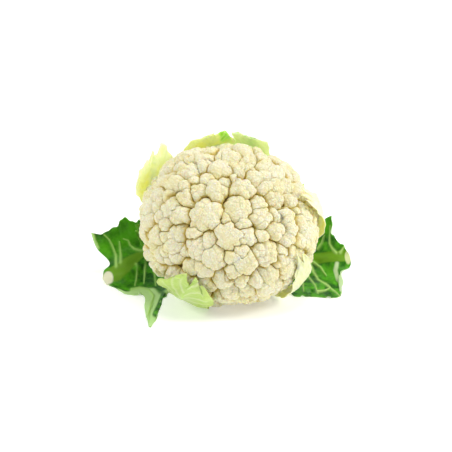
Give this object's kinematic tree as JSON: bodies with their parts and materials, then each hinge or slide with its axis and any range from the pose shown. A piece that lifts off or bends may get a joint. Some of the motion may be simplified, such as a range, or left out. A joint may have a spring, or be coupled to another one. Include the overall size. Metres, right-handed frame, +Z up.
{
  "type": "cauliflower",
  "caption": "Whole cauliflower resting tilted on a table: a pale knobbly curd, young leaves round it, a short cut stem, and loose green outer leaves at both sides.",
  "frame": {"origin": "centre of the small flat spot on the curd that lies on the table", "axes": "+Z up; -Y the front, the side the picture looks at from a little above; +X to the viewer's right, from one loose outer leaf to the other"},
  "size_m": [0.2367, 0.1503, 0.1408],
  "materials": {
    "curd": "matt, finely granular, creamy white, ochre in the creases",
    "stem": "matt, fibrous, pale green-white",
    "young_leaf": "satin, pale yellow-green, translucent at the margin",
    "outer_leaf": "satin, deep green with a pale rib and veins"
  },
  "bodies": {
    "root": {"curd": "curd", "stem": "stem", "leaf_top_left": "young_leaf", "leaf_top_right": "young_leaf", "leaf_upper_left": "young_leaf", "leaf_left": "young_leaf", "leaf_lower_left": "young_leaf", "leaf_lower_right": "young_leaf", "leaf_right": "young_leaf", "leaf_upper_right": "young_leaf", "outer_leaf_left": "outer_leaf", "outer_leaf_right": "outer_leaf"}
  },
  "joints": []
}
